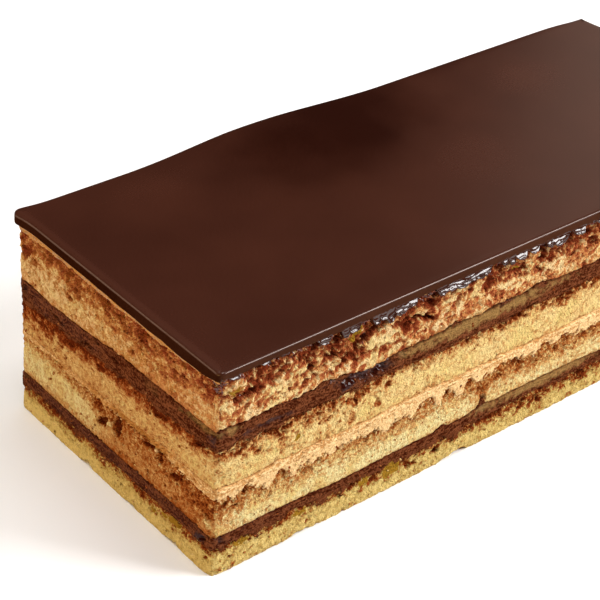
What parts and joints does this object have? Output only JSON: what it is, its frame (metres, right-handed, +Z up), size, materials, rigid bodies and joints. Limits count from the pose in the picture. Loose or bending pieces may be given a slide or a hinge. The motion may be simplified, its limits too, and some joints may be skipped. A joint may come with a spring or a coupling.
{
  "type": "opera cake",
  "caption": "Long rectangular cut piece of opera cake: coffee-soaked almond sponges, ganache and coffee buttercream in level layers under a smooth dark chocolate glaze.",
  "frame": {"origin": "centre of the underside, on the surface that the cake stands on", "axes": "+X along the long cut sides, +Y from the front cut side to the back, +Z up"},
  "size_m": [0.142, 0.0598, 0.042],
  "materials": {
    "dark_chocolate_glaze": "smooth satin-gloss dark chocolate glaze, nearly black at its edge",
    "coffee_buttercream": "peach-brown coffee buttercream, smeared and slightly moist",
    "dark_ganache": "dark chocolate ganache with a soft sheen, dragged by the knife",
    "first_sponge": "soaked almond sponge mottled with brown crust and chocolate in its pores",
    "second_sponge": "golden almond sponge with brown crust along its top and fine pores",
    "third_sponge": "pale yellow almond sponge under patches of orange-brown crust",
    "bottom_sponge": "yellow soaked almond sponge with amber spots and an uneven lower edge"
  },
  "bodies": {
    "root": {"chocolate_glaze": "dark_chocolate_glaze", "top_buttercream": "coffee_buttercream", "first_sponge": "first_sponge", "upper_ganache": "dark_ganache", "second_sponge": "second_sponge", "coffee_buttercream": "coffee_buttercream", "third_sponge": "third_sponge", "lower_ganache": "dark_ganache", "bottom_sponge": "bottom_sponge"}
  },
  "joints": []
}
